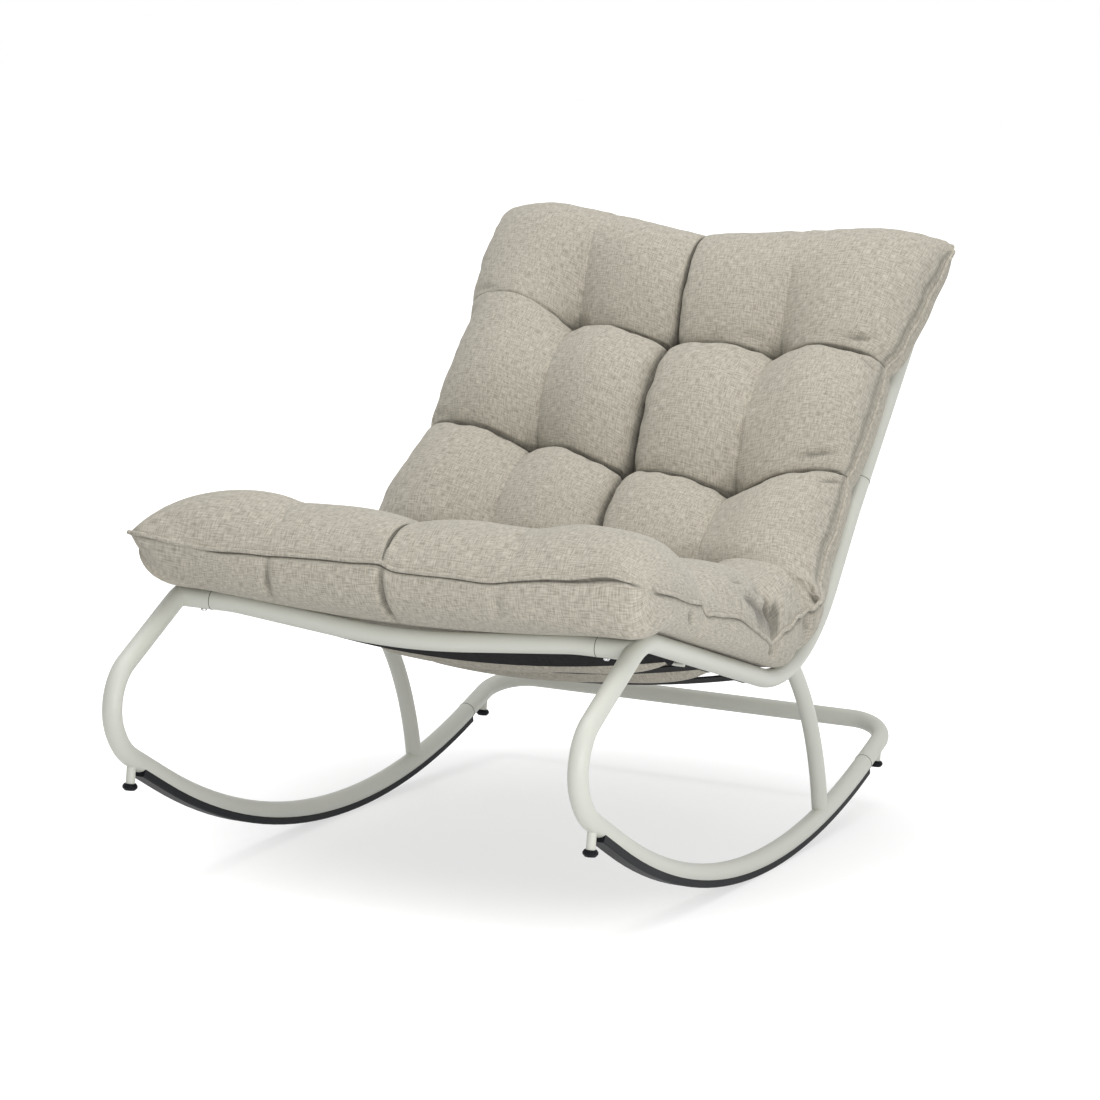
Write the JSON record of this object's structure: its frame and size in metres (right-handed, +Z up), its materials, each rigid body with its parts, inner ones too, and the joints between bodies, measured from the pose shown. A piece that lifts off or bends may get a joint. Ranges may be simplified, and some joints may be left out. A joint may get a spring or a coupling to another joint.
{
  "type": "rocking lounge chair",
  "caption": "Armless garden rocking chair of bent round tube on curved rockers, with elastic straps carrying a thick folded tufted cushion.",
  "frame": {"origin": "on the floor, in the middle plane, where the rockers touch it when the empty chair is at rest", "axes": "+Z up, -Y towards the front of the chair, +X to the right seen from the front"},
  "size_m": [0.698, 1.2381, 0.8295],
  "materials": {
    "frame_paint": "satin powder coat",
    "screw_steel": "bright",
    "strip_rubber": "matte",
    "bumper_rubber": "matte",
    "strap_webbing": "woven elastic",
    "cushion_fabric": "melange weave"
  },
  "bodies": {
    "frame": {"side_frame_left": "frame_paint", "side_frame_right": "frame_paint", "front_socket_left": "frame_paint", "front_socket_right": "frame_paint", "front_rail": "frame_paint", "back_bow": "frame_paint", "base_bow": "frame_paint", "rear_strut_left": "frame_paint", "rear_strut_right": "frame_paint", "rocker_strip_left": "strip_rubber", "rocker_strip_right": "strip_rubber", "stop_post_front_left": "frame_paint", "stop_post_front_right": "frame_paint", "stop_post_rear_left": "frame_paint", "stop_post_rear_right": "frame_paint", "bumper_front_left": "bumper_rubber", "bumper_front_right": "bumper_rubber", "bumper_rear_left": "bumper_rubber", "bumper_rear_right": "bumper_rubber", "seat_strap_front": "strap_webbing", "seat_strap_middle": "strap_webbing", "seat_strap_rear": "strap_webbing", "back_strap_lower": "strap_webbing", "back_strap_middle": "strap_webbing", "back_strap_upper": "strap_webbing", "seat_strap_staples": "frame_paint", "back_strap_staples": "frame_paint", "front_rail_screws": "screw_steel", "back_bow_screws": "screw_steel", "base_bow_screws": "screw_steel"},
    "cushion": {"seat_cushion": "cushion_fabric", "back_cushion": "cushion_fabric"}
  },
  "joints": [
    {"name": "cushion_lift", "type": "slide", "parent": "frame", "child": "cushion", "axis": [0, -0.3218, 0.9468], "range_m": [0, 0.3]}
  ]
}
